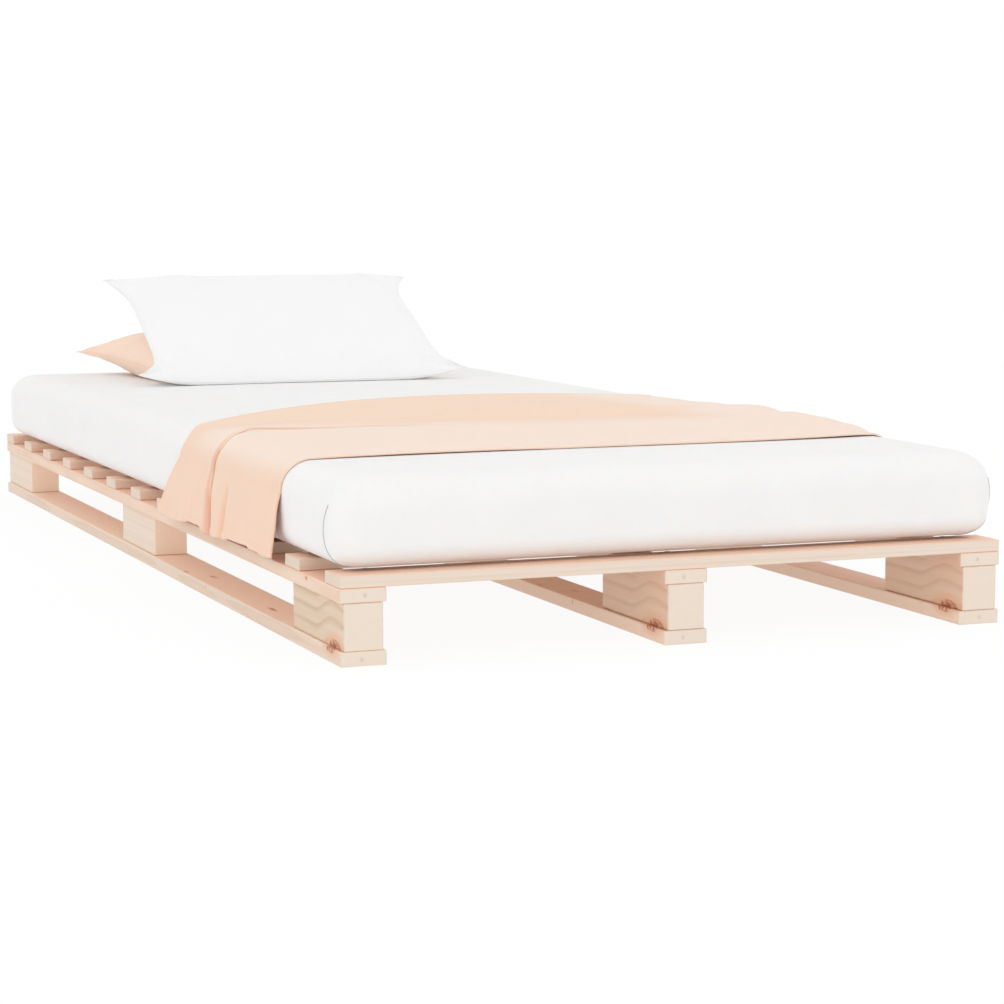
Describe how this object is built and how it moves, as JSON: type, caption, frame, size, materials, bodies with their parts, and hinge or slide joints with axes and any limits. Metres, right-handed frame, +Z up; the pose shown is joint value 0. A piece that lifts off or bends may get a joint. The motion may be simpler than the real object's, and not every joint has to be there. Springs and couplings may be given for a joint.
{
  "type": "pallet bed",
  "caption": "Low single bed frame built like a pallet from pine boards, blocks and slats, with a sheeted mattress, a throw and two pillows.",
  "frame": {"origin": "on the floor, under the middle of the centre base board", "axes": "+Z up, +Y along the bed from its foot to the pillows, +X across the bed, to the right seen from the foot"},
  "size_m": [0.9495, 2, 0.4046],
  "materials": {
    "pine": "sanded, unfinished pale pine",
    "steel": "zinc-plated screws, mostly hidden",
    "white_sheet": "white cotton fitted sheet",
    "white_pillowcase": "white cotton pillowcase",
    "peach_throw": "soft peach cotton",
    "peach_pillowcase": "soft peach cotton"
  },
  "bodies": {
    "frame": {"base_board_left": "pine", "base_board_centre": "pine", "base_board_right": "pine", "rail_left": "pine", "rail_centre": "pine", "rail_right": "pine", "block_left_foot": "pine", "block_left_mid": "pine", "block_left_head": "pine", "block_centre_foot": "pine", "block_centre_mid": "pine", "block_centre_head": "pine", "block_right_foot": "pine", "block_right_mid": "pine", "block_right_head": "pine", "slat_01": "pine", "slat_02": "pine", "slat_03": "pine", "slat_04": "pine", "slat_05": "pine", "slat_06": "pine", "slat_07": "pine", "slat_08": "pine", "slat_09": "pine", "slat_10": "pine", "slat_11": "pine", "slat_12": "pine", "slat_13": "pine", "screw_left_foot_1": "steel", "screw_left_foot_2": "steel", "screw_left_mid_1": "steel", "screw_left_mid_2": "steel", "screw_left_head_1": "steel", "screw_left_head_2": "steel", "screw_centre_foot_1": "steel", "screw_centre_foot_2": "steel", "screw_centre_mid_1": "steel", "screw_centre_mid_2": "steel", "screw_centre_head_1": "steel", "screw_centre_head_2": "steel", "screw_right_foot_1": "steel", "screw_right_foot_2": "steel", "screw_right_mid_1": "steel", "screw_right_mid_2": "steel", "screw_right_head_1": "steel", "screw_right_head_2": "steel"},
    "mattress": {"mattress": "white_sheet"},
    "throw": {"throw_blanket": "peach_throw"},
    "pillow_back": {"pillow_back": "peach_pillowcase"},
    "pillow_front": {"pillow_front": "white_pillowcase"}
  },
  "joints": [
    {"name": "mattress_lift", "type": "slide", "parent": "frame", "child": "mattress", "axis": [0, 0, 1], "range_m": [0, 0.3]},
    {"name": "throw_lift", "type": "slide", "parent": "mattress", "child": "throw", "axis": [0, 0, 1], "range_m": [0, 0.25]},
    {"name": "pillow_back_lift", "type": "slide", "parent": "mattress", "child": "pillow_back", "axis": [0, 0, 1], "range_m": [0, 0.25]},
    {"name": "pillow_front_lift", "type": "slide", "parent": "pillow_back", "child": "pillow_front", "axis": [0, 0, 1], "range_m": [0, 0.25]}
  ]
}
